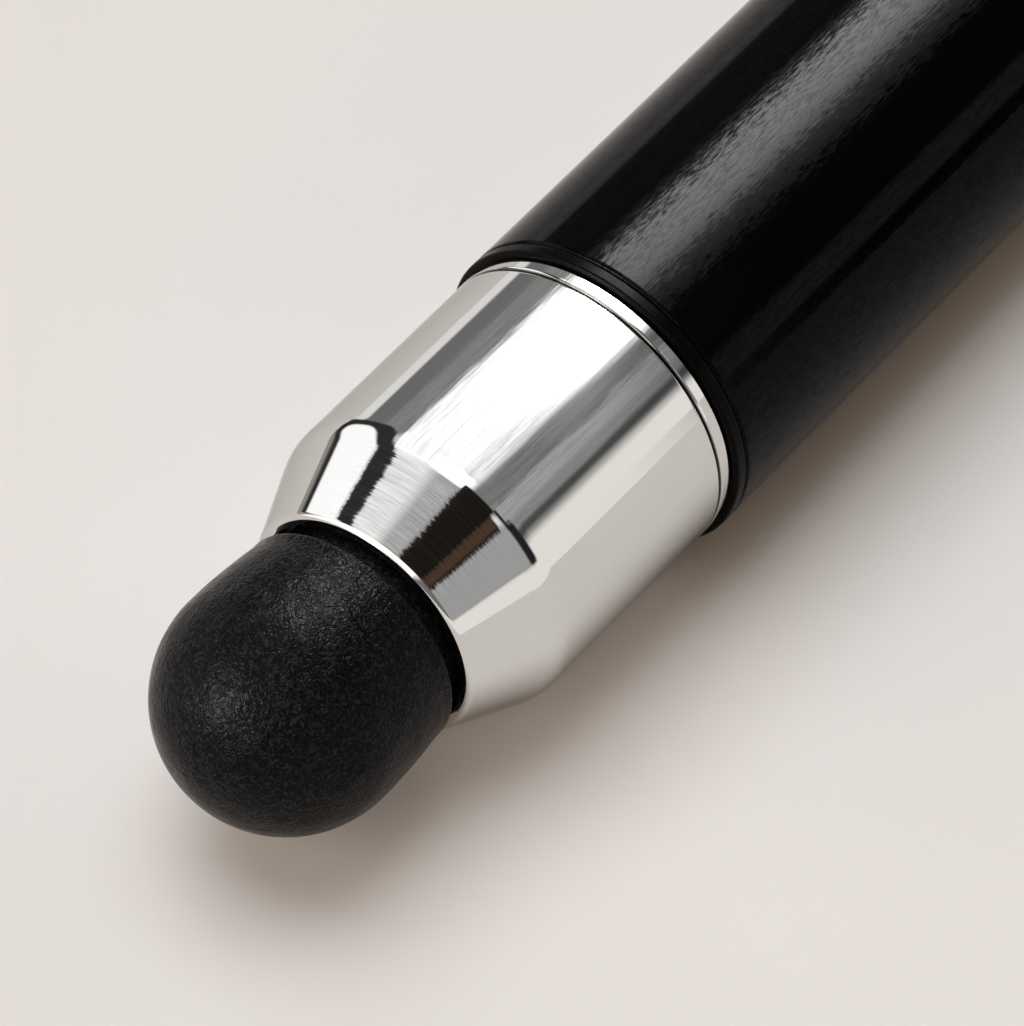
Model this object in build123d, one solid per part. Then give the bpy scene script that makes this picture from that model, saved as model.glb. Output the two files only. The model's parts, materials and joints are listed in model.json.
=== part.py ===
from build123d import *
import os
from math import asin, atan2, cos, degrees, hypot, pi, radians, sin

# A twist-action ball pen with a soft touch-screen tip on its other end, lying on a table.
# All lengths are millimetres. Every piece is drawn round the X axis, the pen's own axis,
# with x = 0 at the seam where the two halves turn on each other, the touch tip towards -X
# and the writing point towards +X. PLACE, at the end, sets the finished pen on the table.

# Barrels
barrel_diameter = 10.0
barrel_wall = 0.6
barrel_edge_radius = 0.15
upper_barrel_length = 40.0
lower_straight_length = 42.0
lower_end_diameter = 8.6
center_ring_diameter = 9.6
center_ring_width = 2.9

# Touch tip and its ferrule
ferrule_diameter = 9.6
ferrule_cylinder_length = 7.25
ferrule_cone_length = 2.65
ferrule_shoulder_radius = 2.0
ferrule_wall = 1.24
rim_diameter = 7.36
rim_land = 0.3
rim_rounding = 0.8
mouth_rounding = 0.15
mouth_depth = 0.5
lip_height = 0.2
lip_thickness = 0.8
seam_edge_radius = 0.12
dome_diameter = 7.46
dome_centre_ahead = 3.3
tip_base_step = 0.45
tip_base_ahead = 0.45
tip_base_edge_radius = 0.22
tip_neck_wall = 0.8
tip_flange_thickness = 0.8
post_flange_thickness = 0.9
post_reach = 1.0
post_end_radius = 0.5

# Bush that the ferrule screws onto
thread_pitch = 1.0
thread_turns = 5
thread_depth = 0.5
bush_body_length = 7.0
bush_wall = 0.9
bush_lead_in = 0.4

# Rings between the ferrule and the barrel
clip_ring_thickness = 0.52
spacer_width = 0.42
spacer_edge_radius = 0.1

# Pocket clip
clip_width = 2.6
clip_thickness = 0.7
clip_gap = 1.5
clip_root_length = 1.2
clip_straight_length = 23.0
clip_dip_length = 6.0
clip_toe_length = 3.2
clip_toe_rise = 1.1
clip_toe_clearance = 0.15
clip_bend_radius = 0.9
clip_dip_radius = 4.0
clip_corner_radius = 0.9

# Twist mechanism
refill_travel = 5.0
twist_angle = 180.0
hub_length = 13.5
hub_wall = 0.6
hub_floor = 1.0
o_ring_section = 1.0
o_ring_from_end = 6.5
rotor_wall = 0.55
rotor_front_overhang = 1.9
sleeve_wall = 0.5
sleeve_length = 24.4
pin_from_sleeve_end = 11.4
pin_diameter = 1.2
pin_end_inset = 0.25
circlip_thickness = 0.7
circlip_groove_depth = 0.25
circlip_side_room = 0.2
circlip_opening = 70.0
slider_behind_pin = 3.5
slider_back_room = 2.0
socket_floor = 1.1
socket_depth = 6.3

# Refill and nose
refill_length = 67.0
refill_diameter = 2.35
refill_wall = 0.25
refill_setback = 1.6
point_plug_length = 4.0
point_collar_length = 2.0
point_stem_diameter = 1.6
point_stem_length = 2.4
point_cone_length = 2.4
point_rim = 0.07
ball_diameter = 0.7
ball_showing = 0.2
ink_length = 31.0
follower_length = 4.0
nose_length = 15.0
nose_lip_wall = 0.5
nose_spigot_diameter = 6.0
nose_spigot_length = 5.0
nose_guide_length = 6.0
nose_wall = 0.9
nose_bulge = 0.45
nose_edge_radius = 0.2

# Clearances
running_clearance = 0.06
press_clearance = 0.015
end_clearance = 0.1

# Radii that several pieces share
barrel_radius = barrel_diameter / 2
barrel_bore = barrel_radius - barrel_wall
press_radius = barrel_bore - press_clearance
ferrule_radius = ferrule_diameter / 2
rim_radius = rim_diameter / 2
seat_radius = ferrule_radius - ferrule_wall
thread_radius = seat_radius - running_clearance
ring_bore = thread_radius + press_clearance
mouth_radius = rim_radius - rim_land
lip_bore = mouth_radius - lip_height
neck_radius = lip_bore - running_clearance
tip_cavity_radius = neck_radius - tip_neck_wall
sleeve_bore = press_radius - sleeve_wall
rotor_radius = sleeve_bore - running_clearance
rotor_bore = rotor_radius - rotor_wall
slider_radius = rotor_bore - running_clearance
pin_radius = pin_diameter / 2
slot_width = pin_diameter + 2 * running_clearance
refill_radius = refill_diameter / 2
refill_bore = refill_radius - refill_wall
refill_guide = refill_radius + running_clearance
ball_radius = ball_diameter / 2
hub_radius = barrel_bore - running_clearance
o_ring_radius = o_ring_section / 2
o_ring_middle = barrel_bore - 2 * press_clearance - o_ring_radius
lower_end_radius = lower_end_diameter / 2
nose_spigot_radius = nose_spigot_diameter / 2
clip_inner = barrel_radius + clip_gap
clip_outer = clip_inner + clip_thickness

# Stations along the pen, from the seam towards the touch tip
barrel_front = -upper_barrel_length
spacer_front = barrel_front - spacer_width
clip_ring_front = spacer_front - clip_ring_thickness
shoulder_x = clip_ring_front - ferrule_cylinder_length
rim_x = shoulder_x - ferrule_cone_length
lip_back = rim_x + mouth_depth + lip_thickness
tip_flange_back = lip_back + end_clearance / 2 + tip_flange_thickness
post_flange_back = tip_flange_back + post_flange_thickness
dome_centre = rim_x - dome_centre_ahead
tip_end = dome_centre - dome_diameter / 2
clip_hinge_x = spacer_front + clip_root_length
clip_hinge_r = clip_inner + clip_thickness / 2

# Stations along the pen, from the seam towards the writing point
center_ring_front = end_clearance
lower_barrel_back = center_ring_front + center_ring_width
hub_shoulder = center_ring_front + end_clearance
sleeve_back = hub_shoulder + end_clearance
sleeve_front = sleeve_back + sleeve_length
rotor_front = sleeve_front + rotor_front_overhang
circlip_back = sleeve_front + end_clearance
pin_x = sleeve_back + pin_from_sleeve_end
slider_back = pin_x - slider_behind_pin
refill_back = pin_x + pin_radius + socket_floor
slider_front = refill_back + socket_depth
ball_end = refill_back + refill_length
mouth_x = ball_end + refill_setback
nose_joint = mouth_x - nose_length
taper_start = lower_barrel_back + lower_straight_length
point_mouth_x = ball_end - ball_showing
point_cone_back = point_mouth_x - point_cone_length
stem_start = point_cone_back - point_stem_length
tube_front = stem_start - point_collar_length
plug_back = tube_front - point_plug_length
ink_back = plug_back - ink_length


def turned(points, radii=None):
    """Solid of revolution about the X axis from (x, radius) points, with rounded corners."""
    corners = radii or [0] * len(points)
    outline = FilletPolyline(*points, radius=corners, close=True)
    return revolve(make_face(outline.edges()), Axis.X)


def tube(start, end, outer, inner, edge=0.0):
    """Plain tube along X, with its two outer edges rounded."""
    points = [(start, inner), (start, outer), (end, outer), (end, inner)]
    return turned(points, [0, edge, edge, 0])


def rod(start, end, radius):
    """Plain round bar along X."""
    return turned([(start, 0), (start, radius), (end, radius), (end, 0)])


def cross_pin(x, radius, reach):
    """Round bar across the pen, along Z, with the same reach on both sides."""
    return Pos(x, 0, 0) * Cylinder(radius, 2 * reach)


def upper_barrel():
    return tube(barrel_front, 0, barrel_radius, barrel_bore, barrel_edge_radius)


def spacer_ring():
    return tube(spacer_front, barrel_front, barrel_radius, ring_bore, spacer_edge_radius)


def top_bush():
    """Bush pressed into the barrel, with the spigot that passes through both rings."""
    back = barrel_front + bush_body_length
    thread_end = post_flange_back + thread_pitch * thread_turns
    relief = thread_radius - thread_depth
    bore = relief - bush_wall
    points = [
        (post_flange_back, bore),
        (post_flange_back, thread_radius),
        (thread_end, thread_radius),
        (thread_end, relief),
        (clip_ring_front, relief),
        (clip_ring_front, thread_radius),
        (barrel_front, thread_radius),
        (barrel_front, press_radius),
        (back, press_radius),
        (back, bore),
    ]
    return turned(points, [0, bush_lead_in, 0, 0, 0, 0, 0, 0, bush_lead_in, 0])


def tip_ferrule():
    """Metal sleeve with a conical front, an open mouth and a lip that traps the rubber."""
    lip_front = rim_x + mouth_depth
    rim_edge = rim_land * rim_rounding
    mouth_edge = rim_land * mouth_rounding
    points = [
        (clip_ring_front, seat_radius),
        (clip_ring_front, ferrule_radius),
        (shoulder_x, ferrule_radius),
        (rim_x, rim_radius),
        (rim_x, mouth_radius),
        (lip_front, mouth_radius),
        (lip_front, lip_bore),
        (lip_back, lip_bore),
        (lip_back, seat_radius),
    ]
    radii = [0, seam_edge_radius, ferrule_shoulder_radius, rim_edge, mouth_edge, 0, 0, 0, 0]
    return turned(points, radii)


def stylus_tip():
    """Hollow rubber dome with a base edge, a neck through the mouth and a trapped flange."""
    dome_radius = dome_diameter / 2
    base_radius = neck_radius + tip_base_step
    base_x = rim_x - tip_base_ahead
    flange_front = tip_flange_back - tip_flange_thickness
    flange_radius = seat_radius - running_clearance
    apex = (tip_end, 0)
    equator = (dome_centre, dome_radius)
    edge_start = (base_x - 2 * tip_base_edge_radius, base_radius)
    slope = sin(pi / 4)
    dome_middle = (dome_centre - dome_radius * slope, dome_radius * slope)
    cavity_middle = (dome_centre - tip_cavity_radius * slope, tip_cavity_radius * slope)
    dome = ThreePointArc(apex, dome_middle, equator)
    side = TangentArc(equator, edge_start, tangent=(1, 0))
    base = FilletPolyline(
        edge_start,
        (base_x, base_radius),
        (base_x, neck_radius),
        (flange_front, neck_radius),
        (flange_front, flange_radius),
        (tip_flange_back, flange_radius),
        (tip_flange_back, tip_cavity_radius),
        (dome_centre, tip_cavity_radius),
        radius=[tip_base_edge_radius, 0, 0, 0, 0, 0],
    )
    cavity = ThreePointArc(
        (dome_centre, tip_cavity_radius), cavity_middle, (dome_centre - tip_cavity_radius, 0)
    )
    closing = Line((dome_centre - tip_cavity_radius, 0), apex)
    outline = [dome.edge(), side.edge(), *base.edges(), cavity.edge(), closing.edge()]
    return revolve(make_face(outline), Axis.X)


def tip_post():
    """Plastic core with a flange that the bush presses against the rubber's flange."""
    stem = tip_cavity_radius - press_clearance
    front = rim_x - post_reach
    flange = seat_radius - running_clearance
    points = [
        (front, 0),
        (front, stem),
        (tip_flange_back, stem),
        (tip_flange_back, flange),
        (post_flange_back, flange),
        (post_flange_back, 0),
    ]
    return turned(points, [0, post_end_radius, 0, 0, 0, 0])


def clip_strip(points, radii):
    """Bent strip of the clip, from the centre line of its side view in (x, radius)."""
    line = FilletPolyline(*[(x, 0, r) for x, r in points], radius=radii)
    section = Plane(line @ 0, x_dir=(0, 1, 0), z_dir=line % 0)
    return sweep(section * Rectangle(clip_width, clip_thickness), path=line)


def hinge_bar(radius, length):
    """Round bar along the line that the clip springs about."""
    bar = Cylinder(radius, length, rotation=(90, 0, 0))
    return Pos(clip_hinge_x, 0, clip_hinge_r) * bar


def clip_ring():
    """Stamped ring with the root of the clip, as far as the line that the arm springs about."""
    tab_x = clip_ring_front + clip_ring_thickness / 2
    washer = tube(clip_ring_front, spacer_front, ferrule_radius, ring_bore, seam_edge_radius)
    tab_foot = ferrule_radius - clip_ring_thickness
    tab_height = clip_outer - tab_foot
    tab = Pos(tab_x, 0, tab_foot + tab_height / 2)
    tab = tab * Box(clip_ring_thickness, clip_width, tab_height)
    top_length = clip_hinge_x - clip_ring_front
    top = Pos(clip_ring_front + top_length / 2, 0, clip_hinge_r)
    top = top * Box(top_length, clip_width, clip_thickness)
    root = tab + top
    outer_corner = (clip_ring_front, 0, clip_outer)
    bend = root.edges().filter_by(Axis.Y).sort_by_distance(outer_corner)[0]
    root = fillet(bend, clip_bend_radius)
    knuckle_room = hinge_bar(clip_thickness / 2 + running_clearance, 2 * clip_width)
    return turn_clip(washer + root - knuckle_room)


def clip_arm():
    """Arm that runs along the barrel, dips to it and ends in a lifted toe."""
    dip_r = barrel_radius + clip_toe_clearance + clip_thickness / 2
    straight_end = clip_hinge_x + clip_straight_length
    dip_end = straight_end + clip_dip_length
    toe_end = dip_end + clip_toe_length
    points = [
        (clip_hinge_x, clip_hinge_r),
        (straight_end, clip_hinge_r),
        (dip_end, dip_r),
        (toe_end, dip_r + clip_toe_rise),
    ]
    arm = clip_strip(points, [clip_dip_radius, clip_dip_radius])
    arm = arm + hinge_bar(clip_thickness / 2, clip_width)
    toe_face = arm.faces().sort_by(Axis.X)[-1]
    toe_corners = toe_face.edges().sort_by(SortBy.LENGTH)[:2]
    return turn_clip(fillet(toe_corners, clip_corner_radius))


def turn_clip(piece):
    """Turn a clip piece, drawn above the barrel, to where the clip rests on the table."""
    return Rot(clip_turn, 0, 0) * piece


def hub_o_ring():
    """Rubber ring in the hub's groove, just clear of the upper barrel's bore."""
    ring = Rot(0, 90, 0) * Torus(o_ring_middle, o_ring_radius)
    return Pos(-o_ring_from_end, 0, 0) * ring


def helical_slots():
    """Cutter for the rotor's two helical slots, drawn round Z and then laid along X."""
    mid_radius = rotor_bore + rotor_wall / 2
    lead = refill_travel * 360 / twist_angle
    path = Helix(lead, refill_travel, mid_radius)
    section = Plane(path @ 0, x_dir=(1, 0, 0), z_dir=path % 0)
    slot = sweep(section * Rectangle(2 * rotor_wall, slot_width), path=path, is_frenet=True)
    end_hole = Rot(0, 90, 0) * Cylinder(slot_width / 2, 2 * rotor_wall)
    start = Pos(mid_radius, 0, 0) * end_hole
    finish = Pos(0, 0, refill_travel) * Rot(0, 0, twist_angle) * start
    one = slot + start + finish
    both = one + Rot(0, 0, 180) * one
    return Pos(pin_x, 0, 0) * Rot(0, 90, 0) * both


def twist_rotor():
    """Hub that grips the upper barrel, with the slotted tube that drives the cross pin."""
    groove_bottom = o_ring_middle - o_ring_radius - press_clearance
    groove_half = o_ring_radius + running_clearance
    groove_front = -o_ring_from_end + groove_half
    groove_back = -o_ring_from_end - groove_half
    clip_bottom = rotor_radius - circlip_groove_depth
    clip_groove_front = circlip_back + circlip_thickness + 2 * press_clearance
    bore_back = slider_back - slider_back_room
    cavity = groove_bottom - hub_wall
    points = [
        (-hub_floor, 0),
        (-hub_floor, cavity),
        (-hub_length, cavity),
        (-hub_length, hub_radius),
        (groove_back, hub_radius),
        (groove_back, groove_bottom),
        (groove_front, groove_bottom),
        (groove_front, hub_radius),
        (hub_shoulder, hub_radius),
        (hub_shoulder, rotor_radius),
        (circlip_back - press_clearance, rotor_radius),
        (circlip_back - press_clearance, clip_bottom),
        (clip_groove_front, clip_bottom),
        (clip_groove_front, rotor_radius),
        (rotor_front, rotor_radius),
        (rotor_front, rotor_bore),
        (bore_back, rotor_bore),
        (bore_back, 0),
    ]
    radii = [0] * len(points)
    radii[points.index((-hub_length, hub_radius))] = bush_lead_in
    return turned(points, radii) - helical_slots()


def rotor_circlip():
    """Open ring snapped into the groove at the rotor's front end."""
    inner = rotor_radius - circlip_groove_depth + press_clearance
    outer = barrel_bore - circlip_side_room
    ring = tube(circlip_back, circlip_back + circlip_thickness, outer, inner)
    half_opening = outer * sin(radians(circlip_opening / 2))
    mouth = Box(2 * circlip_thickness, 2 * half_opening, outer)
    return ring - Pos(circlip_back + circlip_thickness / 2, 0, outer / 2) * mouth


def mech_sleeve():
    """Fixed sleeve with two straight slots that keep the cross pin from turning."""
    body = tube(sleeve_back, sleeve_front, press_radius, sleeve_bore)
    slot = Pos(pin_x + refill_travel / 2, 0, 0)
    slot = slot * Box(refill_travel, slot_width, 2 * barrel_radius)
    for x in (pin_x, pin_x + refill_travel):
        slot = slot + cross_pin(x, slot_width / 2, barrel_radius)
    return body - slot


def center_ring():
    """Bright ring on the mechanism's sleeve, set a little below the two barrels."""
    outer = center_ring_diameter / 2
    return tube(center_ring_front, lower_barrel_back, outer, barrel_bore, seam_edge_radius)


def lower_barrel():
    """Barrel with a straight grip and a curved taper down to the nose."""
    spigot_bore = nose_spigot_radius + press_clearance
    bore_end = nose_joint - 2 * nose_spigot_length
    grip_end = (taper_start, barrel_radius)
    nose_end = (nose_joint, lower_end_radius)
    back = FilletPolyline(
        (bore_end, barrel_bore),
        (lower_barrel_back, barrel_bore),
        (lower_barrel_back, barrel_radius),
        grip_end,
        radius=[0, barrel_edge_radius],
    )
    taper = TangentArc(grip_end, nose_end, tangent=(1, 0))
    front = Polyline(
        nose_end,
        (nose_joint, spigot_bore),
        (bore_end, spigot_bore),
        (bore_end, barrel_bore),
    )
    outline = [*back.edges(), taper.edge(), *front.edges()]
    return revolve(make_face(outline), Axis.X)


def nose_cone():
    """Nose with a spigot in the barrel, a bulged cone and the mouth for the point."""
    mouth_outer = refill_guide + nose_lip_wall
    spigot_back = nose_joint - nose_spigot_length
    wide_bore = nose_spigot_radius - nose_wall
    guide_back = mouth_x - nose_guide_length
    cone_start = (nose_joint, lower_end_radius)
    cone_end = (mouth_x - nose_edge_radius, mouth_outer)
    lip = (mouth_x, mouth_outer - nose_edge_radius)
    bulge_x = (cone_start[0] + cone_end[0]) / 2
    bulge_radius = (cone_start[1] + cone_end[1]) / 2 + nose_bulge
    cone = ThreePointArc(cone_start, (bulge_x, bulge_radius), cone_end)
    lip_edge = Line(cone_end, lip)
    bore = Polyline(
        lip,
        (mouth_x, refill_guide),
        (guide_back, refill_guide),
        (nose_joint, wide_bore),
        (spigot_back, wide_bore),
        (spigot_back, nose_spigot_radius),
        (nose_joint, nose_spigot_radius),
        cone_start,
    )
    outline = [cone.edge(), lip_edge.edge(), *bore.edges()]
    return revolve(make_face(outline), Axis.X)


def slider():
    """Carrier with a cross hole for the pin and a socket for the refill's rear end."""
    socket = refill_radius + press_clearance
    points = [
        (slider_back, 0),
        (slider_back, slider_radius),
        (slider_front, slider_radius),
        (slider_front, socket),
        (refill_back, socket),
        (refill_back, 0),
    ]
    return turned(points) - cross_pin(pin_x, pin_radius + press_clearance, 2 * slider_radius)


def drive_pin():
    """Cross pin through the slider, long enough to ride in the sleeve's slots."""
    return cross_pin(pin_x, pin_radius, press_radius - pin_end_inset)


def refill_tube():
    return tube(refill_back, tube_front, refill_radius, refill_bore)


def refill_point():
    """Writing point: plug in the tube, collar, stem and a cone that holds the ball."""
    plug = refill_bore - press_clearance
    stem = point_stem_diameter / 2
    points = [
        (plug_back, 0),
        (plug_back, plug),
        (tube_front, plug),
        (tube_front, refill_radius),
        (stem_start, refill_radius),
        (stem_start, stem),
        (point_cone_back, stem),
        (point_mouth_x, ball_radius + point_rim),
        (point_mouth_x, 0),
    ]
    ball_room = Pos(ball_end - ball_radius, 0, 0) * Sphere(ball_radius + press_clearance)
    return turned(points) - ball_room


def point_ball():
    return Pos(ball_end - ball_radius, 0, 0) * Sphere(ball_radius)


def ink_column():
    return rod(ink_back, plug_back, refill_bore - press_clearance)


def ink_follower():
    return rod(ink_back - follower_length, ink_back, refill_bore - press_clearance)


# The pen lies on its barrel and on one corner of the clip, which is turned until it touches
clip_corner = hypot(clip_outer, clip_width / 2)
clip_half_angle = degrees(atan2(clip_width / 2, clip_outer))
clip_below_level = degrees(asin(barrel_radius / clip_corner)) - clip_half_angle
clip_turn = -(90 + clip_below_level)
clip_reach = clip_corner * cos(radians(clip_below_level - clip_half_angle))

# The table's surface is z = 0, and the pen's box is centred over the origin
PLACE = Pos(-(tip_end + mouth_x) / 2, (barrel_radius - clip_reach) / 2, barrel_radius)

pieces = [
    upper_barrel, spacer_ring, top_bush, clip_ring, clip_arm,
    tip_ferrule, stylus_tip, tip_post,
    twist_rotor, hub_o_ring, rotor_circlip,
    mech_sleeve, center_ring, lower_barrel, nose_cone,
    slider, drive_pin, refill_tube, refill_point, ink_column, ink_follower, point_ball,
]

os.makedirs("parts", exist_ok=True)
for piece in pieces:
    name = piece.__name__
    export_step(PLACE * piece(), f"parts/{name}.step")
    print(name)
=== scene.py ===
import json
from collections import namedtuple
from math import atan2, cos, hypot, pi, radians, sin, sqrt, tan

import bpy
from mathutils import Matrix, Vector


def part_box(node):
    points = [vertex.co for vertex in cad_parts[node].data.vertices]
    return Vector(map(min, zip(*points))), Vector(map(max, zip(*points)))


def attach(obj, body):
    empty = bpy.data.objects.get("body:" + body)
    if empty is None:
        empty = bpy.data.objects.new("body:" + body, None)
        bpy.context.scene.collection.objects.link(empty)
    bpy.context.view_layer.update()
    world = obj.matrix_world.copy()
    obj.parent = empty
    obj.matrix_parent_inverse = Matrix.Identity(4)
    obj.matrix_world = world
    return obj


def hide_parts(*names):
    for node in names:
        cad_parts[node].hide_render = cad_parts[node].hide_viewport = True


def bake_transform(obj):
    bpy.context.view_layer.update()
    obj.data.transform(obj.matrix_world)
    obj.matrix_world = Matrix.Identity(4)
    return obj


# A stylus pen: a twist-action ball pen with a soft touch-screen tip on its other end.
# Sizes are millimetres and places are in the row frame, with the pen along X.

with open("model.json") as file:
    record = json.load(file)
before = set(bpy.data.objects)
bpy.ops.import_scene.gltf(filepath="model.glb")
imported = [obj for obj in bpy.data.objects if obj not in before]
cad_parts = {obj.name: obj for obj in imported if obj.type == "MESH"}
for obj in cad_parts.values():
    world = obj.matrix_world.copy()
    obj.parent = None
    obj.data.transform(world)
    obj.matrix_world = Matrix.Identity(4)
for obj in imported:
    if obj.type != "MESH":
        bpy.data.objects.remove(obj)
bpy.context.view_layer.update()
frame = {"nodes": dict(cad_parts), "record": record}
nodes = frame["nodes"]

MM = 0.001

# Distance under which two points count as one
SAME = 1e-5

# Steps in which round shapes are drawn
TURNS = 256
ROUND_STEPS = 6
DOME_SIDE_STEPS = 16
DOME_HEAD_STEPS = 40
TAPER_STEPS = 24
NOSE_STEPS = 32
THREAD_STEPS = 16
STRIP_STEPS = 12
STRIP_EDGE_STEPS = 4
TOE_STEPS = 8
FLOOR_SIDES = 128

# Ferrule, dome and rings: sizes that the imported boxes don't give
ferrule_cylinder_length = 7.25
ferrule_shoulder_radius = 2.0
rim_radius = 3.68
rim_land = 0.3
rim_edge_radius = 0.24
mouth_edge_radius = 0.045
mouth_depth = 0.5
lip_height = 0.2
lip_thickness = 0.8
seat_radius = 3.56
seam_edge_radius = 0.12
ring_bore = 3.515
dome_diameter = 7.46
tip_base_step = 0.45
tip_base_ahead = 0.45
tip_base_edge_radius = 0.22
tip_neck_wall = 0.8
tip_flange_thickness = 0.8
spacer_edge_radius = 0.1
running_clearance = 0.06

# Barrels and nose
barrel_wall = 0.6
barrel_edge_radius = 0.15
lower_straight_length = 42.0
lower_end_radius = 4.3
lower_spigot_bore = 3.015
lower_bore_end = 10.0
nose_wall = 0.9
nose_bulge = 0.45
nose_lip_wall = 0.5
nose_guide_length = 6.0
nose_spigot_radius = 3.0
nose_spigot_length = 5.0
nose_edge_radius = 0.2
refill_guide = 1.235

# Threaded bush, with the ridge's crest and flank as shares of the pitch
thread_pitch = 1.0
thread_turns = 5
thread_depth = 0.35
thread_radius = 3.5
thread_half_crest = 0.125
thread_flank = 0.25
bush_bore = 2.1
bush_relief_radius = 3.0
bush_lead_in = 0.4

# Pocket clip, turned below level by an angle in degrees
clip_width = 2.6
clip_thickness = 0.7
clip_foot_depth = 0.5
clip_gap = 1.5
clip_root_length = 1.2
clip_straight_length = 23.0
clip_dip_length = 6.0
clip_toe_length = 3.2
clip_toe_rise = 1.1
clip_toe_clearance = 0.15
clip_bend_radius = 0.55
clip_dip_radius = 4.0
clip_edge_radius = 0.18
clip_corner_radius = 0.9
clip_below_level = 32.875

# Camera, fitted to the photograph from the rear edge of the clip ring: degrees and millimetres
camera_azimuth = 37.5
camera_elevation = 49.0
camera_distance = 250.0
camera_right = -2.26
camera_up = -3.19
camera_lens = 315.8
camera_near = 10.0

backdrop_colour = (0.80, 0.765, 0.73, 1)
floor_radius = 2500.0

# Side of the pen that is handled most, as a direction out of its axis
handled_angle = radians(12)
most_handled = (0, -sin(handled_angle), cos(handled_angle))

# Middle of a noise texture's values, and the range that most of them lie in
NOISE_MIDDLE = 0.5
MOST_NOISE = (0.3, 0.7)


def span(node):
    """Low and high x of a CAD node, and its half height, in millimetres."""
    low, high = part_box(node)
    return low.x / MM, high.x / MM, (high.z - low.z) / 2 / MM


# Places and radii that several pieces share
barrel_low, barrel_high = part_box("upper_barrel")
axis_y = (barrel_low.y + barrel_high.y) / 2 / MM
axis_z = (barrel_low.z + barrel_high.z) / 2 / MM
barrel_front, barrel_back, barrel_radius = span("upper_barrel")
barrel_bore = barrel_radius - barrel_wall
spacer_front = span("spacer_ring")[0]
rim_x, ferrule_back, ferrule_radius = span("tip_ferrule")
shoulder_x = ferrule_back - ferrule_cylinder_length
mouth_radius = rim_radius - rim_land
lip_bore = mouth_radius - lip_height
neck_radius = lip_bore - running_clearance
clip_foot_x = (ferrule_back + spacer_front) / 2
clip_hinge_x = spacer_front + clip_root_length
clip_half_thickness = clip_thickness / 2


# Profiles are lists of runs. A run is a list of (point, normal) pairs in the (x, radius) plane,
# and the runs of a profile go counter-clockwise round the material.

def straight(start, end, steps=1):
    """Straight run between two points."""
    dx, dr = end[0] - start[0], end[1] - start[1]
    length = hypot(dx, dr)
    normal = (dr / length, -dx / length)
    return [((start[0] + dx * i / steps, start[1] + dr * i / steps), normal) for i in range(steps + 1)]


def arc_about(centre, start, end, steps):
    """Round run about a centre, the short way from one point to another."""
    first = atan2(start[1] - centre[1], start[0] - centre[0])
    last = atan2(end[1] - centre[1], end[0] - centre[0])
    sweep = (last - first + pi) % (2 * pi) - pi
    radius = hypot(start[0] - centre[0], start[1] - centre[1])
    side = 1 if sweep > 0 else -1
    run = []
    for i in range(steps + 1):
        c, s = cos(first + sweep * i / steps), sin(first + sweep * i / steps)
        run.append(((centre[0] + radius * c, centre[1] + radius * s), (side * c, side * s)))
    return run


def tangent_centre(start, end):
    """Centre of the arc that is level at one point and passes through the other."""
    dx, dr = end[0] - start[0], end[1] - start[1]
    return (start[0], start[1] + (dx * dx + dr * dr) / (2 * dr))


def three_point_centre(start, middle, end):
    """Centre of the arc through three points."""
    (ax, ar), (bx, br), (cx, cr) = start, middle, end
    a, b, c = ax * ax + ar * ar, bx * bx + br * br, cx * cx + cr * cr
    d = 2 * (ax * (br - cr) + bx * (cr - ar) + cx * (ar - br))
    x = (a * (br - cr) + b * (cr - ar) + c * (ar - br)) / d
    r = (a * (cx - bx) + b * (ax - cx) + c * (bx - ax)) / d
    return (x, r)


def corner_run(before, corner, after, radius):
    """Round run that replaces a corner, or the bare corner where the radius is 0."""
    if not radius:
        return [(corner, None)]
    tip = Vector(corner)
    back = (Vector(before) - tip).normalized()
    ahead = (Vector(after) - tip).normalized()
    half = back.angle(ahead) / 2
    centre = tip + (back + ahead).normalized() * (radius / sin(half))
    reach = radius / tan(half)
    return arc_about(centre, tip + back * reach, tip + ahead * reach, ROUND_STEPS)


def rounded(corners, closed=True):
    """Runs through (x, radius) or (x, radius, rounding) corners."""
    points = [corner[:2] for corner in corners]
    turns = []
    for i, corner in enumerate(corners):
        rounding = corner[2] if len(corner) > 2 else 0
        after = points[(i + 1) % len(points)]
        turns.append(corner_run(points[i - 1], points[i], after, rounding))
    runs = []
    for i, turn in enumerate(turns):
        if len(turn) > 1:
            runs.append(turn)
        if closed or i + 1 < len(turns):
            runs.append(straight(turn[-1][0], turns[(i + 1) % len(turns)][0][0]))
    return runs


def add_mesh(name, points, faces, normals=None):
    """New mesh object from points in millimetres in the row frame."""
    sharp_angle = radians(35)
    mesh = bpy.data.meshes.new(name)
    mesh.from_pydata([[v * MM for v in p] for p in points], [], faces)
    mesh.shade_smooth()
    if normals:
        mesh.normals_split_custom_set(normals)
    else:
        mesh.set_sharp_from_angle(angle=sharp_angle)
    piece = bpy.data.objects.new(name, mesh)
    bpy.context.scene.collection.objects.link(piece)
    return piece


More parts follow.
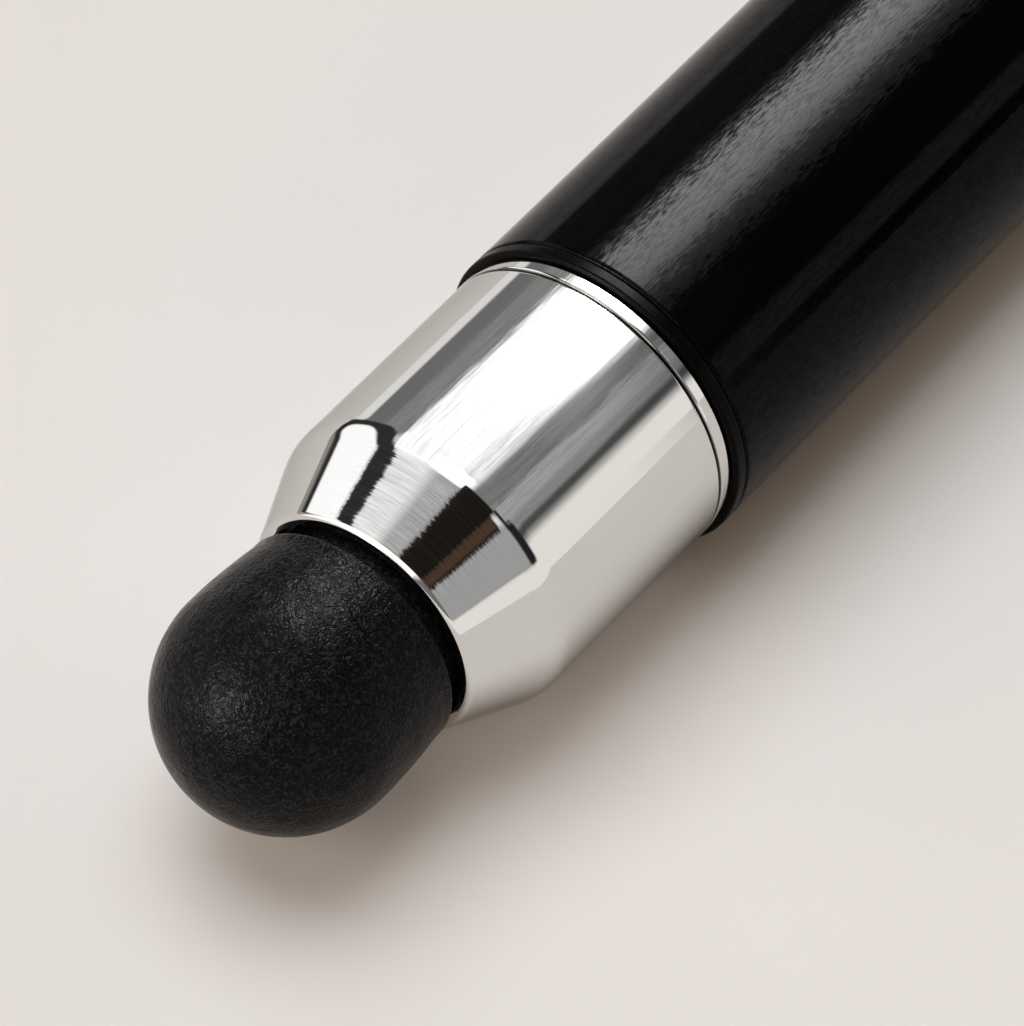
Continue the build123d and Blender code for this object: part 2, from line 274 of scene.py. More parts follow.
def lathe(name, runs, cut=None):
    """Closed surface turned about the pen's axis, shaded with the profile's own normals.

    cut(x, turn) takes that much off the radius, turn being a share of a whole turn.
    """
    segments = [pair for run in runs for pair in zip(run, run[1:])]
    circle = [(cos(2 * pi * j / TURNS), sin(2 * pi * j / TURNS)) for j in range(TURNS)]
    points, rows, faces, normals = [], [], [], []
    for ((x, r), _), _ in segments:
        rows.append(len(points))
        if r < SAME:
            points.append((x, axis_y, axis_z))
            continue
        for j, (c, s) in enumerate(circle):
            radius = r - cut(x, j / TURNS) if cut else r
            points.append((x, axis_y + radius * c, axis_z + radius * s))
    for i, (start, end) in enumerate(segments):
        pole_start, pole_end = start[0][1] < SAME, end[0][1] < SAME
        if pole_start and pole_end:
            continue
        row, next_row = rows[i], rows[(i + 1) % len(rows)]
        for j in range(TURNS):
            k = (j + 1) % TURNS
            corners = [(next_row, end, j), (next_row, end, k), (row, start, k), (row, start, j)]
            if pole_end:
                corners.pop(1)
            if pole_start:
                corners.pop()
            face = []
            for first, ((_, r), (nx, nr)), turn in corners:
                c, s = circle[turn]
                face.append(first if r < SAME else first + turn)
                normals.append((nx, nr * c, nr * s))
            faces.append(face)
    return add_mesh(name, points, faces, None if cut else normals)


def upper_barrel():
    corners = [
        (barrel_front, barrel_bore),
        (barrel_back, barrel_bore),
        (barrel_back, barrel_radius, barrel_edge_radius),
        (barrel_front, barrel_radius, barrel_edge_radius),
    ]
    return lathe("barrel_upper", rounded(corners))


def plain_ring(name, node, bore, edge):
    """Ring with two rounded outer edges, where a CAD ring is."""
    front, back, radius = span(node)
    corners = [(front, bore), (back, bore), (back, radius, edge), (front, radius, edge)]
    return lathe(name, rounded(corners))


def clip_washer():
    """Ring of the clip, which lies against the ferrule's rear edge."""
    corners = [
        (ferrule_back, ring_bore),
        (spacer_front, ring_bore),
        (spacer_front, ferrule_radius, seam_edge_radius),
        (ferrule_back, ferrule_radius, seam_edge_radius),
    ]
    return lathe("clip_washer", rounded(corners))


def ferrule():
    """Metal sleeve with a conical front, an open mouth and a lip inside it."""
    lip_front = rim_x + mouth_depth
    lip_back = lip_front + lip_thickness
    corners = [
        (rim_x, mouth_radius, mouth_edge_radius),
        (lip_front, mouth_radius),
        (lip_front, lip_bore),
        (lip_back, lip_bore),
        (lip_back, seat_radius),
        (ferrule_back, seat_radius),
        (ferrule_back, ferrule_radius, seam_edge_radius),
        (shoulder_x, ferrule_radius, ferrule_shoulder_radius),
        (rim_x, rim_radius, rim_edge_radius),
    ]
    return lathe("ferrule", rounded(corners))


def paint_mouth_shade(piece, dark):
    """Give the inside of the ferrule's mouth the dull black rubber, as painted shade in that recess."""
    piece.data.materials.append(dark)
    for face in piece.data.polygons:
        _, y, z = face.center / MM
        if hypot(y - axis_y, z - axis_z) < mouth_radius:
            face.material_index = 1


def dome():
    """Hollow rubber dome with its base edge, neck and trapped flange."""
    tip_end, flange_back, _ = span("stylus_tip")
    flange_front = flange_back - tip_flange_thickness
    flange_radius = seat_radius - running_clearance
    cavity = neck_radius - tip_neck_wall
    base = neck_radius + tip_base_step
    base_x = rim_x - tip_base_ahead
    radius = dome_diameter / 2
    centre = (tip_end + radius, 0)
    equator = (centre[0], radius)
    edge_start = (base_x - 2 * tip_base_edge_radius, base)
    foot = rounded([
        (centre[0], cavity),
        (flange_back, cavity),
        (flange_back, flange_radius),
        (flange_front, flange_radius),
        (flange_front, neck_radius),
        (base_x, neck_radius),
        (base_x, base, tip_base_edge_radius),
        edge_start,
    ], closed=False)
    side = arc_about(tangent_centre(equator, edge_start), edge_start, equator, DOME_SIDE_STEPS)
    head = arc_about(centre, equator, (tip_end, 0), DOME_HEAD_STEPS)
    hollow_end = (centre[0] - cavity, 0)
    hollow = arc_about(centre, hollow_end, (centre[0], cavity), DOME_SIDE_STEPS)
    return lathe("touch_dome", [*foot, side, head, straight((tip_end, 0), hollow_end), hollow])


def bush():
    """Threaded bush in the barrel's end, seen when the ferrule is unscrewed."""
    front, back, body_radius = span("top_bush")
    thread_end = front + thread_pitch * thread_turns
    runs = rounded([
        (front, bush_bore),
        (back, bush_bore),
        (back, body_radius, bush_lead_in),
        (barrel_front, body_radius),
        (barrel_front, thread_radius),
        (ferrule_back, thread_radius),
        (ferrule_back, bush_relief_radius),
        (thread_end, bush_relief_radius),
        (thread_end, thread_radius),
    ], closed=False)
    runs.append(straight((thread_end, thread_radius), (front, thread_radius), thread_turns * THREAD_STEPS))
    runs.append(straight((front, thread_radius), (front, bush_bore)))

    def groove(x, turn):
        if not front - SAME <= x < thread_end - SAME:
            return 0.0
        from_crest = abs(((x - front) / thread_pitch + turn) % 1 - 0.5)
        ridge = min(1.0, max(0.0, 1 - (from_crest - thread_half_crest) / thread_flank))
        lead_in = min(1.0, (x - front) / bush_lead_in)
        return thread_depth * (1 - ridge * lead_in)

    return lathe("threaded_bush", runs, groove)


def lower_barrel():
    """Grip barrel, straight and then curving down to the nose."""
    back, joint, radius = span("lower_barrel")
    bore_end = joint - lower_bore_end
    grip_end = (back + lower_straight_length, radius)
    nose_end = (joint, lower_end_radius)
    taper = arc_about(tangent_centre(grip_end, nose_end), nose_end, grip_end, TAPER_STEPS)
    inside = rounded([
        (back, barrel_bore),
        (bore_end, barrel_bore),
        (bore_end, lower_spigot_bore),
        (joint, lower_spigot_bore),
        nose_end,
    ], closed=False)
    outside = rounded([
        grip_end,
        (back, radius, barrel_edge_radius),
        (back, barrel_bore),
    ], closed=False)
    return lathe("barrel_lower", [*inside, taper, *outside])


def nose():
    """Bright nose with a spigot in the barrel and the mouth for the writing point."""
    spigot_back, mouth_x, _ = span("nose_cone")
    joint = spigot_back + nose_spigot_length
    mouth_outer = refill_guide + nose_lip_wall
    wide_bore = nose_spigot_radius - nose_wall
    cone_start = (joint, lower_end_radius)
    cone_end = (mouth_x - nose_edge_radius, mouth_outer)
    lip_end = (mouth_x, mouth_outer - nose_edge_radius)
    middle = ((cone_start[0] + cone_end[0]) / 2, (cone_start[1] + cone_end[1]) / 2 + nose_bulge)
    cone = arc_about(three_point_centre(cone_start, middle, cone_end), cone_end, cone_start, NOSE_STEPS)
    lip = arc_about((cone_end[0], lip_end[1]), lip_end, cone_end, ROUND_STEPS)
    inside = rounded([
        cone_start,
        (joint, nose_spigot_radius),
        (spigot_back, nose_spigot_radius),
        (spigot_back, wide_bore),
        (joint, wide_bore),
        (mouth_x - nose_guide_length, refill_guide),
        (mouth_x, refill_guide),
        lip_end,
    ], closed=False)
    return lathe("nose", [*inside, lip, cone])


def clip_place(x, across, height):
    """Offset from the pen's axis, turned from the clip's own directions into the row frame."""
    turn = -radians(90 + clip_below_level)
    y = across * cos(turn) - height * sin(turn)
    z = across * sin(turn) + height * cos(turn)
    return Vector((x, y, z))


def clip_section(half_width, half_thickness):
    """Points and normals of the strip's rounded section, as (across, height) pairs."""
    edge = clip_edge_radius
    ring = []
    for corner, (sx, sz) in enumerate(((1, 1), (-1, 1), (-1, -1), (1, -1))):
        middle = (sx * (half_width - edge), sz * (half_thickness - edge))
        for i in range(STRIP_EDGE_STEPS + 1):
            angle = (corner + i / STRIP_EDGE_STEPS) * pi / 2
            c, s = cos(angle), sin(angle)
            ring.append(((middle[0] + edge * c, middle[1] + edge * s), (c, s)))
    return ring


def clip_line():
    """Points (x, radius) along the middle of the strip, and the direction in which its toe ends."""
    arm_r = barrel_radius + clip_gap + clip_half_thickness
    straight_end = clip_hinge_x + clip_straight_length
    dip_end = straight_end + clip_dip_length
    dip_r = barrel_radius + clip_toe_clearance + clip_half_thickness
    path = rounded([
        (clip_foot_x, ferrule_radius - clip_foot_depth),
        (clip_foot_x, arm_r, clip_bend_radius),
        (straight_end, arm_r, clip_dip_radius),
        (dip_end, dip_r, clip_dip_radius),
        (dip_end + clip_toe_length, dip_r + clip_toe_rise),
    ], closed=False)
    line = []
    for run in path:
        places = [Vector(p) for p, _ in run]
        if len(places) == 2:
            start, end = places
            places = [start.lerp(end, i / STRIP_STEPS) for i in range(STRIP_STEPS + 1)]
        for p in places:
            if not line or (p - line[-1]).length > SAME:
                line.append(p)
    end = line[-1]
    ahead = (end - line[-2]).normalized()
    line = [p for p in line if (end - p).length > clip_corner_radius]
    for i in range(TOE_STEPS, -1, -1):
        from_end = clip_corner_radius * (1 - cos(i / TOE_STEPS * pi / 2))
        line.append(end - ahead * from_end)
    return line, ahead


def toe_inset(from_end):
    """How far the strip's sides draw in round its two end corners, at a distance from the end."""
    reach = max(0.0, clip_corner_radius - from_end)
    return clip_corner_radius - sqrt(clip_corner_radius**2 - reach**2)


def clip():
    """One bent strip, from the washer over the root bend to the lifted toe."""
    line, ahead = clip_line()
    foot_half = (spacer_front - ferrule_back) / 2
    points, faces, normals, rows = [], [], [], []
    for i, p in enumerate(line):
        along = (line[min(i + 1, len(line) - 1)] - line[max(i - 1, 0)]).normalized()
        up = Vector((-along.y, along.x))
        bend = min(1.0, max(0.0, (p.x - clip_foot_x) / clip_bend_radius))
        half_thickness = foot_half + (clip_half_thickness - foot_half) * bend
        half_width = clip_width / 2 - toe_inset((line[-1] - p).length)
        rows.append([])
        for (across, height), (na, nh) in clip_section(half_width, half_thickness):
            place = clip_place(p.x + up.x * height, across, p.y + up.y * height)
            normal = clip_place(up.x * nh, na, up.y * nh)
            rows[-1].append((len(points), tuple(normal)))
            points.append((place.x, place.y + axis_y, place.z + axis_z))
    count = len(rows[0])
    for row, next_row in zip(rows, rows[1:]):
        for j in range(count):
            k = (j + 1) % count
            corners = [row[k], next_row[k], next_row[j], row[j]]
            faces.append([index for index, _ in corners])
            normals += [normal for _, normal in corners]
    toe_normal = tuple(clip_place(ahead.x, 0, ahead.y))
    foot_normal = tuple(clip_place(0, 0, -1))
    faces.append([index for index, _ in rows[-1]])
    normals += [toe_normal] * count
    faces.append([index for index, _ in reversed(rows[0])])
    normals += [foot_normal] * count
    strip = add_mesh("clip_strip", points, faces, normals)
    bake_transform(strip)
    return strip


# Nodes for the world and the materials

def put(tree, kind, inputs=None, **settings):
    """Add a node, with its settings and with values or sockets for its inputs."""
    made = tree.nodes.new(kind)
    for key, value in settings.items():
        setattr(made, key, value)
    for key, value in (inputs or {}).items():
        if isinstance(value, bpy.types.NodeSocket):
            tree.links.new(value, made.inputs[key])
        else:
            made.inputs[key].default_value = value
    return made


def calc(tree, operation, *values):
    """Result socket of one Math node."""
    return put(tree, "ShaderNodeMath", dict(enumerate(values)), operation=operation).outputs[0]


def vector_calc(tree, operation, *values, output="Vector"):
    """Result socket of one Vector Math node."""
    made = put(tree, "ShaderNodeVectorMath", dict(enumerate(values)), operation=operation)
    return made.outputs[output]


def ease(tree, value, low, high, to_low=0.0, to_high=1.0):
    """Result socket that eases between two values as the input goes from low to high."""
    inputs = {"Value": value, "From Min": low, "From Max": high, "To Min": to_low, "To Max": to_high}
    return put(tree, "ShaderNodeMapRange", inputs, interpolation_type="SMOOTHSTEP").outputs["Result"]


def mix_colour(tree, factor, first, second):
    """Result socket of one colour mix."""
    made = put(tree, "ShaderNodeMix", {0: factor, 6: first, 7: second}, data_type="RGBA")
    return made.outputs[2]


def noise(tree, vector, scale, detail, rough=0.6, distortion=0.0):
    """Value socket of one noise texture."""
    inputs = {
        "Vector": vector,
        "Scale": scale,
        "Detail": detail,
        "Roughness": rough,
        "Distortion": distortion,
    }
    return put(tree, "ShaderNodeTexNoise", inputs).outputs[0]


def grey(value):
    return (value, value, value, 1)


# The studio round the pen, as panels of light and shade in directions from it, in degrees.
# turn goes round the pen from straight up, positive on the camera's side, and lean is towards
# the writing end. A later panel covers an earlier one. The lamps light the pen and the table,
# and the reflections are what glossy surfaces show.
Panel = namedtuple("Panel", "turn lean soft colour corner slant stretch", defaults=(0, 0, 1))

dim_room = (0.06, 0.06, 0.05, 1)
lamps = [
    # Wide lamp past the touch tip, warmer on the camera's side
    Panel((-100, 100), (-100, -36), 12, (2.58, 2.36, 2.18, 1)),
    Panel((30, 100), (-100, -30), 10, (1.5, 1.15, 0.85, 1)),
    # Weak warm light from the camera's side
    Panel((50, 100), (-30, 100), 8, (0.28, 0.2, 0.12, 1)),
    # Cool lamp overhead
    Panel((-36, 10), (-20, 26), 8, (3.2, 3.4, 3.6, 1)),
    # Shade low on the camera's side, which keeps the table dark under the pen
    Panel((62, 110), (-110, 110), 8, (0.06, 0.05, 0.035, 1)),
]

studio_grey = (0.37, 0.35, 0.33, 1)
pale_wall = (1.05, 1.01, 0.96, 1)
front_wall = (1.6, 1.53, 1.45, 1)
shade = (0.015, 0.012, 0.01, 1)
brown = (0.085, 0.05, 0.035, 1)
reflections = [
    # Far end of the room, and the wall past the touch tip with its darker side
    Panel((-100, 100), (42, 100), 6, grey(0.4)),
    Panel((-100, 34), (-100, -20), 6, front_wall),
    Panel((34, 100), (-100, -20), 6, grey(0.2)),
    # Grey bands and a bright line along the far side of the ferrule
    Panel((-82, -58), (16, 50), 2, grey(0.2)),
    Panel((-64, -40), (16, 50), 3, grey(0.29)),
    Panel((-94, -81), (16, 50), 2, grey(1.0)),
    # Grey bands and a dark line along its near side, with pale walls below them
    Panel((14, 34), (5, 50), 3, grey(0.24)),
    Panel((34, 47), (5, 50), 4, grey(0.45)),
    Panel((47, 62), (5, 50), 3, grey(0.32)),
    Panel((54, 60), (17, 50), 2, grey(0.09)),
    Panel((64, 100), (18, 60), 4, pale_wall),
    Panel((77, 100), (-100, 60), 2, pale_wall),
    # Light and grey on the top of the cone
    Panel((-40, -4), (-20, 4), 5, grey(1.06)),
    Panel((-10, 12), (-20, 6), 6, grey(0.52)),
    # White strip along the ferrule, which fades at its near edge
    Panel((-45, 16), (-3, 44), 3.5, grey(1.4), corner=12),
    Panel((-12, 12), (0, 22), 4, grey(4.4)),
    Panel((4, 30), (22, 32.2), 4, grey(1.05), stretch=10),
    Panel((16.5, 34), (22, 32.2), 3, grey(0.24), stretch=10),
    # White panel in a dark frame, on the far side of the cone
    Panel((-84, -40), (-20, 28), 1.5, grey(0.035), corner=6, slant=0.4),
    Panel((-79.5, -53), (-20, 21), 1.5, grey(1.4), corner=8, slant=0.4),
    # Grey panel with a dark upper edge, on the near side of the cone
    Panel((38, 76), (-20, 6), 1.5, grey(0.45), corner=3),
    Panel((37, 44), (-3, 5), 3, grey(1.0)),
    Panel((46, 77), (7, 19), 2, grey(0.02), corner=2),
    Panel((34, 50), (6.5, 11), 1.5, grey(0.02)),
    # Dark panel with a brown edge beside it
    Panel((10, 36), (-20, 8), 1.5, shade, corner=3),
    Panel((32, 47), (-20, -3), 2, shade, corner=3),
    Panel((36, 44), (-20, -5), 1.5, brown, corner=2),
    # Black cloths that keep the barrel dark on both sides of a grey band
    Panel((18, 63), (33, 50), 1, grey(0.03)),
    Panel((80, 91), (33, 50), 1, shade),
    # Long lamp in a wider glow, which makes the barrel's highlight
    Panel((-36, 16), (32.3, 46), 9, grey(4.0), stretch=18),
    Panel((-32, -1), (32.3, 46), 9, grey(29.0), stretch=18),
    # Small lamp that shows in the dome
    Panel((-62, -18), (-68, -46), 6, grey(22.0)),
]


def panel_mask(tree, turn, lean, panel):
    """Share of a panel in a direction: a rectangle with round corners and soft edges.

    Its slant makes it lean, and its stretch makes the edges along the pen that much sharper.
    """
    across = calc(tree, "MULTIPLY_ADD", lean, float(panel.slant), turn)
    sides = [(across, panel.turn, 1.0), (lean, panel.lean, float(panel.stretch))]
    outside = []
    for value, (low, high), sharper in sides:
        off_middle = calc(tree, "ABSOLUTE", calc(tree, "SUBTRACT", value, (low + high) / 2))
        flat_half = (high - low) / 2 - (panel.corner + panel.soft) / sharper
        past = calc(tree, "MAXIMUM", calc(tree, "SUBTRACT", off_middle, flat_half), 0.0)
        outside.append(calc(tree, "MULTIPLY", past, sharper))
    square = calc(tree, "MULTIPLY", outside[0], outside[0])
    square = calc(tree, "MULTIPLY_ADD", outside[1], outside[1], square)
    distance = calc(tree, "SQRT", square)
    return ease(tree, distance, panel.corner, panel.corner + 2 * panel.soft, 1.0, 0.0)


def studio():
    """World that lights the pen and shows in it, and looks plain and pale to the camera."""
    world = bpy.data.worlds.new("studio")
    bpy.context.scene.world = world
    world.use_nodes = True
    tree = world.node_tree
    tree.nodes.clear()
    direction = put(tree, "ShaderNodeTexCoord").outputs["Generated"]
    parts = put(tree, "ShaderNodeSeparateXYZ", {0: direction}).outputs
    turn = calc(tree, "ARCTAN2", calc(tree, "MULTIPLY", parts["Y"], -1.0), parts["Z"])
    turn = calc(tree, "DEGREES", turn)
    lean = calc(tree, "DEGREES", calc(tree, "ARCSINE", parts["X"]))

    def layered(colour, panels):
        for panel in panels:
            colour = mix_colour(tree, panel_mask(tree, turn, lean, panel), colour, panel.colour)
        return colour

    ray = put(tree, "ShaderNodeLightPath").outputs
    lit = layered(dim_room, lamps)
    reflected = layered(studio_grey, reflections)
    light = mix_colour(tree, ray["Is Glossy Ray"], lit, reflected)
    shown = mix_colour(tree, ray["Is Camera Ray"], light, backdrop_colour)
    background = put(tree, "ShaderNodeBackground", {"Color": shown})
    put(tree, "ShaderNodeOutputWorld", {"Surface": background.outputs[0]})


def add_camera():
    """Camera at the photograph's viewing angle."""
    azimuth, elevation = radians(camera_azimuth), radians(camera_elevation)
    forward = Vector((cos(elevation) * cos(azimuth), cos(elevation) * sin(azimuth), -sin(elevation)))
    right = Vector((sin(azimuth), -cos(azimuth), 0))
    up = right.cross(forward)
    ring_rear = Vector((spacer_front, axis_y, axis_z))
    eye = ring_rear - forward * camera_distance + right * camera_right + up * camera_up
    data = bpy.data.cameras.new("camera")
    data.lens = camera_lens
    data.clip_start = camera_near * MM
    holder = bpy.data.objects.new("camera", data)
    turned = Matrix((right, up, -forward)).transposed().to_4x4()
    holder.matrix_world = Matrix.Translation(eye * MM) @ turned
    bpy.context.scene.collection.objects.link(holder)
    bpy.context.scene.camera = holder


def new_material(name, **constants):
    """Material with one Principled shader, and that shader's fixed inputs set on its own sockets."""
    material = bpy.data.materials.new(name)
    material.use_nodes = True
    tree = material.node_tree
    shader = tree.nodes["Principled BSDF"]
    for key, value in constants.items():
        shader.inputs[key.replace("_", " ")].default_value = value
    return material, tree, shader


def connect(tree, shader, **sockets):
    """Lead sockets to the shader's inputs."""
    for key, socket in sockets.items():
        tree.links.new(socket, shader.inputs[key.replace("_", " ")])


def object_place(tree):
    """Place on the pen, in metres in the row frame."""
    return put(tree, "ShaderNodeTexCoord").outputs["Object"]


def round_pen(tree):
    """Coordinates of a point on the pen: x in metres, and the direction outwards from the axis."""
    middle = (0, axis_y * MM, axis_z * MM)
    offset = vector_calc(tree, "SUBTRACT", object_place(tree), middle)
    parts = put(tree, "ShaderNodeSeparateXYZ", {0: offset}).outputs
    flat = put(tree, "ShaderNodeCombineXYZ", {"Y": parts["Y"], "Z": parts["Z"]}).outputs[0]
    return parts["X"], vector_calc(tree, "NORMALIZE", flat)


def streaks(tree, x, outward, along, across, detail=3.0, rough=0.6):
    """Noise drawn out along the pen: cells of that length and width in millimetres at the barrel."""
    parts = put(tree, "ShaderNodeSeparateXYZ", {0: outward}).outputs
    cells = barrel_radius / across
    vector = put(tree, "ShaderNodeCombineXYZ", {
        "X": calc(tree, "MULTIPLY", x, 1 / (along * MM)),
        "Y": calc(tree, "MULTIPLY", parts["Y"], cells),
        "Z": calc(tree, "MULTIPLY", parts["Z"], cells),
    }).outputs[0]
    return noise(tree, vector, scale=1.0, detail=detail, rough=rough)


def worn(tree, outward, marks, start, full, least):
    """Noise at full strength on the side that is handled most, and at a least share elsewhere.

    start and full are the cosines of the angles from that side at which it sets in and is whole.
    """
    handled = vector_calc(tree, "DOT_PRODUCT", outward, most_handled, output="Value")
    wear = ease(tree, handled, start, full, least, 1.0)
    return calc(tree, "MULTIPLY_ADD", calc(tree, "SUBTRACT", marks, NOISE_MIDDLE), wear, NOISE_MIDDLE)


def uneven(tree, wander, middle, spread):
    """Roughness socket that goes a spread each way from a middle as a noise wanders."""
    return ease(tree, wander, *MOST_NOISE, middle - spread, middle + spread)


def bump(tree, height, distance, normal=None):
    """Normal socket from a height of 0 to 1 that stands for a distance in millimetres."""
    inputs = {"Height": height, "Distance": distance * MM, "Strength": 1.0}
    if normal:
        inputs["Normal"] = normal
    return put(tree, "ShaderNodeBump", inputs).outputs[0]


def tilted(tree, outward, wander, amount):
    """Normal socket that is tilted round the pen, by up to an amount in radians, as a noise wanders."""
    normal = put(tree, "ShaderNodeNewGeometry").outputs["Normal"]
    round_way = vector_calc(tree, "CROSS_PRODUCT", (1, 0, 0), outward)
    share = calc(tree, "MULTIPLY", calc(tree, "SUBTRACT", wander, NOISE_MIDDLE), 2 * amount)
    push = put(tree, "ShaderNodeVectorMath", {0: round_way, "Scale": share}, operation="SCALE").outputs[0]
    return vector_calc(tree, "NORMALIZE", vector_calc(tree, "ADD", normal, push))


def chrome():
    """Bright plated metal: polishing streaks along the pen, turning marks round the ferrule's cone, and a
    painted shadow line in the seam at the ferrule's rear edge.
    """
    edge_tint = (0.7, 0.69, 0.68, 1)
    dull, bright = (0.58, 0.575, 0.565, 1), (0.81, 0.805, 0.795, 1)
    # Painted shade in the seam at the ferrule's rear edge: its colour, and the distances in millimetres
    # from the seam where it is whole and where it has gone
    seam_shade = (0.05, 0.045, 0.04, 1)
    seam_dark, seam_clear = 0.03, 0.08
    turning_end, polish_start = shoulder_x - 0.4, shoulder_x + 0.1
    material, tree, shader = new_material("bright_chrome", Metallic=1.0, Specular_Tint=edge_tint)
    x, outward = round_pen(tree)
    polish = streaks(tree, x, outward, along=1.6, across=0.1, detail=4.0, rough=0.65)
    turning = streaks(tree, x, outward, along=0.05, across=1.4)
    broad = streaks(tree, x, outward, along=9.0, across=0.5, detail=2.0)
    on_body = ease(tree, x, turning_end * MM, polish_start * MM)
    marks = put(tree, "ShaderNodeMix", {0: on_body, 2: turning, 3: polish}).outputs[0]
    wander = worn(tree, outward, marks, start=0.84, full=0.94, least=0.06)
    tint = mix_colour(tree, ease(tree, wander, *MOST_NOISE), dull, bright)
    # Painted shadow line along that seam
    from_seam = calc(tree, "ABSOLUTE", calc(tree, "SUBTRACT", x, ferrule_back * MM))
    seam_shade_share = ease(tree, from_seam, seam_dark * MM, seam_clear * MM, 1.0, 0.0)
    connect(
        tree, shader,
        Normal=bump(tree, broad, distance=0.002, normal=tilted(tree, outward, wander, amount=0.04)),
        Roughness=uneven(tree, marks, middle=0.045, spread=0.015),
        Base_Color=mix_colour(tree, seam_shade_share, tint, seam_shade),
    )
    return material


def lacquer():
    """Gloss black lacquer over metal, with a faint grain along the pen."""
    dark, light = grey(0.0008), (0.002, 0.0018, 0.0016, 1)
    material, tree, shader = new_material("black_lacquer")
    x, outward = round_pen(tree)
    fine = streaks(tree, x, outward, along=0.4, across=0.06, detail=4.0, rough=0.7)
    broad = streaks(tree, x, outward, along=8.0, across=0.9, detail=2.0)
    wander = worn(tree, outward, fine, start=0.93, full=0.98, least=0.08)
    connect(
        tree, shader,
        Normal=bump(tree, broad, distance=0.002, normal=tilted(tree, outward, wander, amount=0.22)),
        Roughness=uneven(tree, fine, middle=0.065, spread=0.025),
        Specular_IOR_Level=ease(tree, fine, low=0.35, high=0.65, to_low=0.03, to_high=0.066),
        Base_Color=mix_colour(tree, broad, dark, light),
    )
    return material


def rubber(name, dark, light, grain, depth, roughness, gloss):
    """Black rubber with a skin of short swirling strokes: grain is their width in millimetres.

    The strokes lie on wider patches, which are smoother where they stand high.
    """
    material, tree, shader = new_material(name, Specular_IOR_Level=gloss)
    place = object_place(tree)
    strokes = noise(tree, place, scale=1 / (grain * MM), detail=1.0, rough=0.5, distortion=2.2)
    patches = noise(tree, place, scale=0.25 / (grain * MM), detail=2.0, rough=0.5)
    light_share = ease(tree, strokes, low=0.45, high=0.75)
    connect(
        tree, shader,
        Normal=bump(tree, strokes, depth, normal=bump(tree, patches, 2 * depth)),
        Roughness=uneven(tree, patches, roughness, spread=-0.06),
        Base_Color=mix_colour(tree, light_share, dark, light),
    )
    return material


def turned_metal(name, dark, light, roughness):
    """Bare metal with turning marks round the pen."""
    material, tree, shader = new_material(name, Metallic=1.0)
    x, outward = round_pen(tree)
    marks = streaks(tree, x, outward, along=0.05, across=4.0)
    stain = streaks(tree, x, outward, along=2.0, across=2.0)
    connect(
        tree, shader,
        Normal=bump(tree, marks, distance=0.0015),
        Roughness=uneven(tree, marks, roughness, spread=0.06),
        Base_Color=mix_colour(tree, ease(tree, stain, *MOST_NOISE), dark, light),
    )
    return material


def moulded(name, dark, light, roughness, transmission=0.0):
    """Moulded plastic, ink or grease with a faint mottle."""
    material, tree, shader = new_material(name, Transmission_Weight=transmission)
    mottle = noise(tree, object_place(tree), scale=2500.0, detail=3.0)
    connect(
        tree, shader,
        Normal=bump(tree, mottle, distance=0.002),
        Roughness=uneven(tree, mottle, roughness, spread=0.05),
        Base_Color=mix_colour(tree, mottle, dark, light),
    )
    return material


def floor_paper():
    """Warm off-white table top with a faint mottle."""
    dark, light = (0.775, 0.73, 0.7, 1), (0.805, 0.76, 0.732, 1)
    material, tree, shader = new_material("floor_paper", Roughness=0.9, Specular_IOR_Level=0.1)
    mottle = noise(tree, object_place(tree), scale=160.0, detail=4.0)
    connect(tree, shader, Base_Color=mix_colour(tree, mottle, dark, light))
    return material


def add_floor():
    """Round table top, far wider than any view."""
    angles = [2 * pi * i / FLOOR_SIDES for i in range(FLOOR_SIDES)]
    ring = [(floor_radius * cos(a), floor_radius * sin(a), 0) for a in angles]
    floor = add_mesh("floor", ring, [list(range(FLOOR_SIDES))])
    floor.data.materials.append(floor_paper())


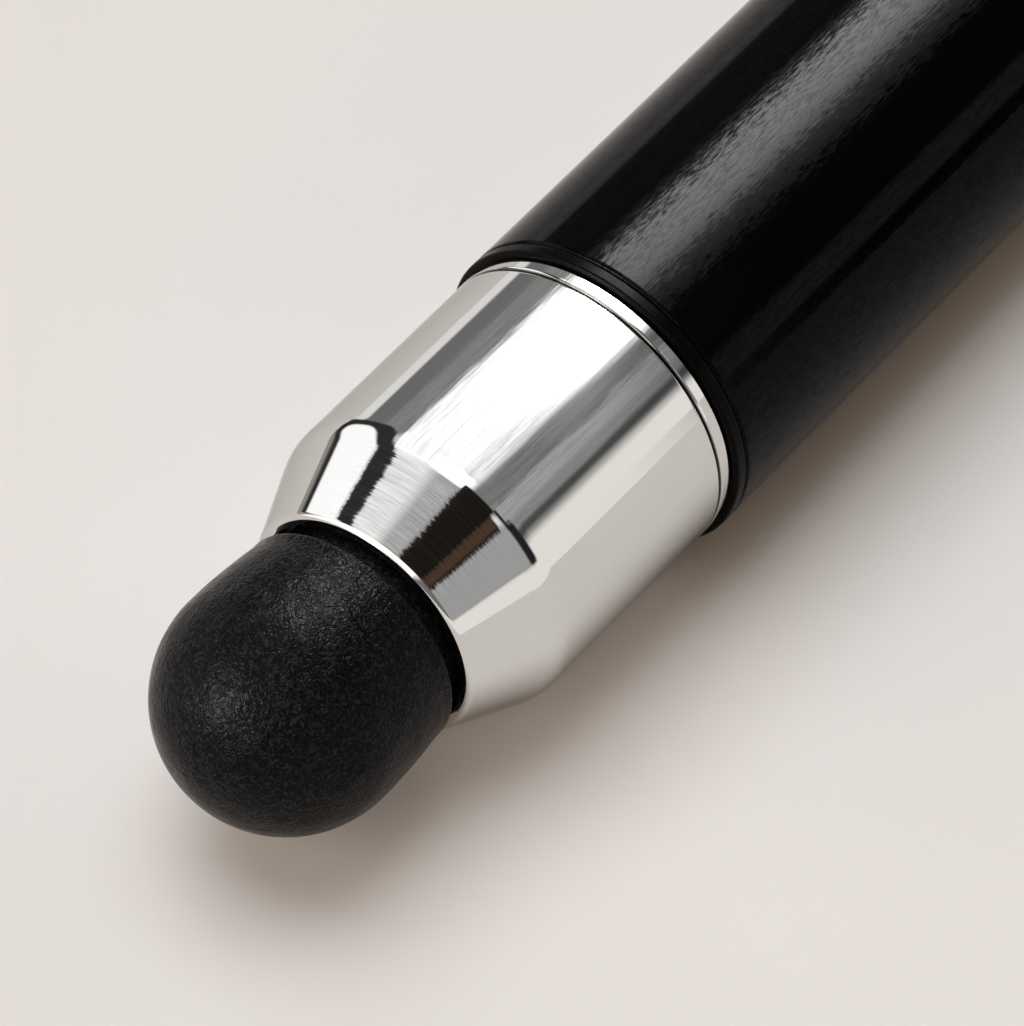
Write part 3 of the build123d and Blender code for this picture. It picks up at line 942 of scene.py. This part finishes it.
finishes = {
    "bright_chrome": chrome(),
    "black_lacquer": lacquer(),
    "soft_rubber": rubber(
        "soft_rubber", (0.0032, 0.0032, 0.003, 1), (0.0175, 0.0175, 0.0165, 1),
        grain=0.2, depth=0.035, roughness=0.2, gloss=0.05,
    ),
    "black_rubber": rubber(
        "black_rubber", grey(0.001), grey(0.003),
        grain=0.2, depth=0.001, roughness=0.28, gloss=0.04,
    ),
    "dark_plastic": moulded(
        "dark_plastic", (0.02, 0.02, 0.022, 1), (0.04, 0.04, 0.042, 1), roughness=0.5,
    ),
    "yellow_brass": turned_metal(
        "yellow_brass", (0.66, 0.47, 0.2, 1), (0.8, 0.6, 0.3, 1), roughness=0.24,
    ),
    "bare_steel": turned_metal(
        "bare_steel", grey(0.5), (0.68, 0.68, 0.67, 1), roughness=0.26,
    ),
    "blue_ink": moulded(
        "blue_ink", (0.005, 0.008, 0.06, 1), (0.012, 0.02, 0.12, 1), roughness=0.15,
    ),
    "clear_grease": moulded(
        "clear_grease", (0.7, 0.62, 0.4, 1), (0.82, 0.75, 0.52, 1), roughness=0.2, transmission=0.5,
    ),
}

# Each new piece, the body that it rides on, its slot, and the CAD nodes that it stands for.
# The clip's strip rides on no body.
new_pieces = [
    (upper_barrel(), "upper", "black_lacquer", ["upper_barrel"]),
    (
        plain_ring("spacer", "spacer_ring", ring_bore, spacer_edge_radius),
        "upper", "black_rubber", ["spacer_ring"],
    ),
    (clip_washer(), "upper", "bright_chrome", ["clip_ring"]),
    (clip(), None, "bright_chrome", ["clip_arm"]),
    (bush(), "upper", "yellow_brass", ["top_bush"]),
    (ferrule(), "ferrule", "bright_chrome", ["tip_ferrule"]),
    (dome(), "touch_tip", "soft_rubber", ["stylus_tip"]),
    (
        plain_ring("middle_ring", "center_ring", barrel_bore, seam_edge_radius),
        "lower", "bright_chrome", ["center_ring"],
    ),
    (lower_barrel(), "lower", "black_lacquer", ["lower_barrel"]),
    (nose(), "lower", "bright_chrome", ["nose_cone"]),
]
for piece, body, slot, stood_for in new_pieces:
    piece.data.materials.append(finishes[slot])
    if body:
        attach(piece, body)
    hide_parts(*stood_for)
    # The inside of the ferrule's mouth gets painted shade
    if piece.name == "ferrule":
        paint_mouth_shade(piece, finishes["black_rubber"])

for row in frame["record"]["subparts"]:
    node = nodes[row["node"]]
    node.data.materials.clear()
    node.data.materials.append(finishes[row["material_slot"]])

add_floor()
studio()
add_camera()
bpy.context.scene.view_settings.view_transform = "Standard"
